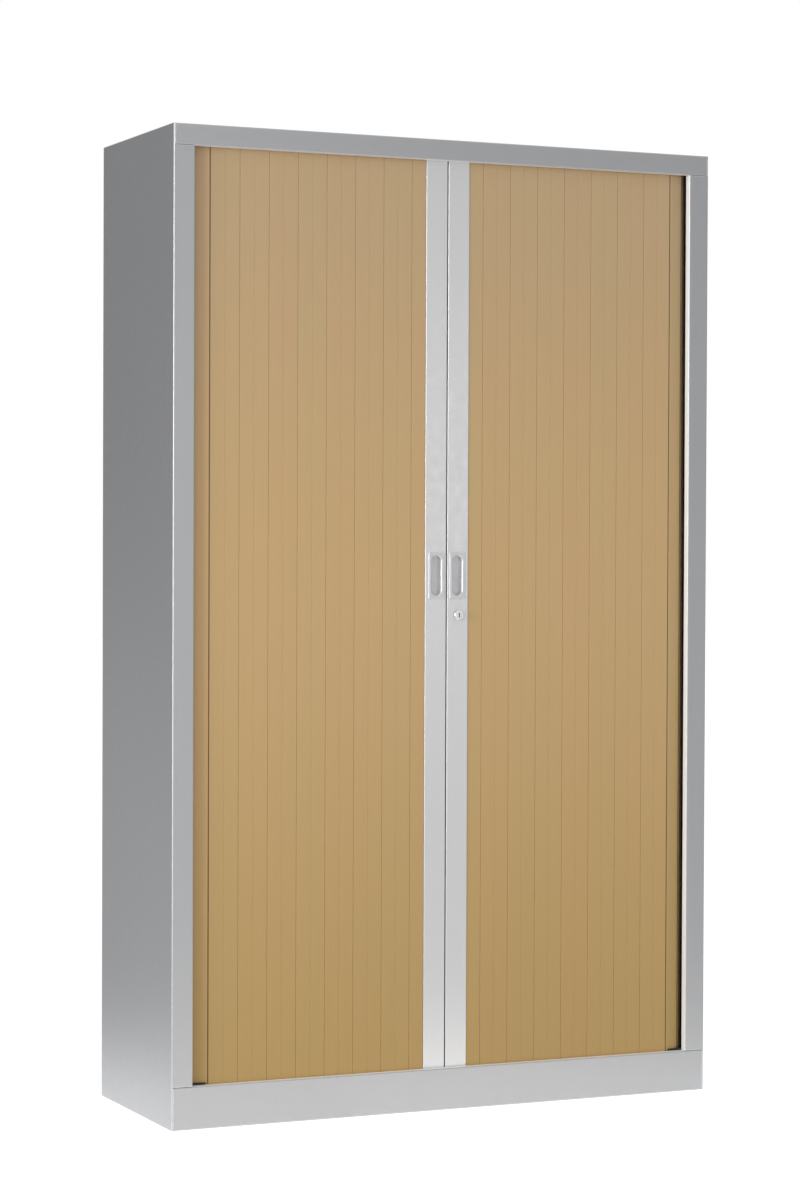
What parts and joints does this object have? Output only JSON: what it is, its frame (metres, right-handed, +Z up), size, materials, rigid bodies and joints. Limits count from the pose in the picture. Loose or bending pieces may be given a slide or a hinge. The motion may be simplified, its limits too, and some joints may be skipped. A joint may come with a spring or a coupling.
{
  "type": "tambour cupboard",
  "caption": "Tall office cupboard of folded steel with two side-opening curtains of interlocking vertical slats, lead bars with flush finger pulls, a cam lock and adjustable shelves.",
  "frame": {"origin": "on the floor, in the middle of the footprint", "axes": "+Z up, +X to the right seen from the front, +Y from the front to the back"},
  "size_m": [1.2, 0.43, 1.98],
  "materials": {
    "casing_paint": "light grey powder coat, fine satin texture",
    "interior_paint": "light grey powder coat",
    "slat_plastic": "matt, with a fine vertical grain",
    "track_plastic": "black, moulded",
    "black_plastic": "black, moulded",
    "lead_bar": "silver-grey coating, satin",
    "handle_plastic": "light grey, moulded",
    "lock_chrome": "polished",
    "zinc_steel": "zinc plated"
  },
  "bodies": {
    "casing": {"side_panel_left": "casing_paint", "side_panel_right": "casing_paint", "plinth": "casing_paint", "top_panel": "casing_paint", "base_panel": "casing_paint", "base_rail": "casing_paint", "back_panel": "casing_paint", "lower_track_left": "track_plastic", "lower_track_right": "track_plastic", "upper_track_left": "track_plastic", "upper_track_right": "track_plastic", "curtain_front_left": "slat_plastic", "curtain_front_right": "slat_plastic", "curtain_tail_left": "slat_plastic", "curtain_tail_right": "slat_plastic", "magazine_liner_left": "interior_paint", "magazine_liner_right": "interior_paint", "front_upright_left": "zinc_steel", "front_upright_right": "zinc_steel", "rear_upright_left": "zinc_steel", "rear_upright_right": "zinc_steel", "shelf_1": "interior_paint", "shelf_2": "interior_paint", "shelf_3": "interior_paint", "shelf_4": "interior_paint", "shelf_clips": "zinc_steel", "foot_brackets": "zinc_steel", "access_caps": "black_plastic"},
    "left_door": {"lead_bar_left": "lead_bar", "handle_cup_left": "handle_plastic", "lower_glide_left": "black_plastic", "upper_glide_left": "black_plastic", "lock_keeper": "zinc_steel"},
    "right_door": {"lead_bar_right": "lead_bar", "handle_cup_right": "handle_plastic", "lower_glide_right": "black_plastic", "upper_glide_right": "black_plastic", "lock_housing": "lock_chrome", "lock_nut": "zinc_steel"},
    "lock": {"lock_plug": "lock_chrome", "lock_cam": "zinc_steel", "cam_screw": "zinc_steel"},
    "foot_left_front": {"foot_pad_left_front": "black_plastic", "foot_stud_left_front": "zinc_steel"},
    "foot_left_rear": {"foot_pad_left_rear": "black_plastic", "foot_stud_left_rear": "zinc_steel"},
    "foot_right_front": {"foot_pad_right_front": "black_plastic", "foot_stud_right_front": "zinc_steel"},
    "foot_right_rear": {"foot_pad_right_rear": "black_plastic", "foot_stud_right_rear": "zinc_steel"}
  },
  "joints": [
    {"name": "left_curtain", "type": "slide", "parent": "casing", "child": "left_door", "axis": [-1, 0, 0], "range_m": [0, 0.468], "deforming": ["curtain_front_left"]},
    {"name": "right_curtain", "type": "slide", "parent": "casing", "child": "right_door", "axis": [1, 0, 0], "range_m": [0, 0.468], "deforming": ["curtain_front_right"]},
    {"name": "lock_turn", "type": "hinge", "parent": "right_door", "child": "lock", "pos_m": [0.0251, -0.195, 1.0125], "axis": [0, 1, 0], "range_deg": [0, 90]},
    {"name": "foot_left_front_screw", "type": "slide", "parent": "casing", "child": "foot_left_front", "axis": [0, 0, -1], "range_m": [0, 0.015]},
    {"name": "foot_left_rear_screw", "type": "slide", "parent": "casing", "child": "foot_left_rear", "axis": [0, 0, -1], "range_m": [0, 0.015]},
    {"name": "foot_right_front_screw", "type": "slide", "parent": "casing", "child": "foot_right_front", "axis": [0, 0, -1], "range_m": [0, 0.015]},
    {"name": "foot_right_rear_screw", "type": "slide", "parent": "casing", "child": "foot_right_rear", "axis": [0, 0, -1], "range_m": [0, 0.015]}
  ]
}
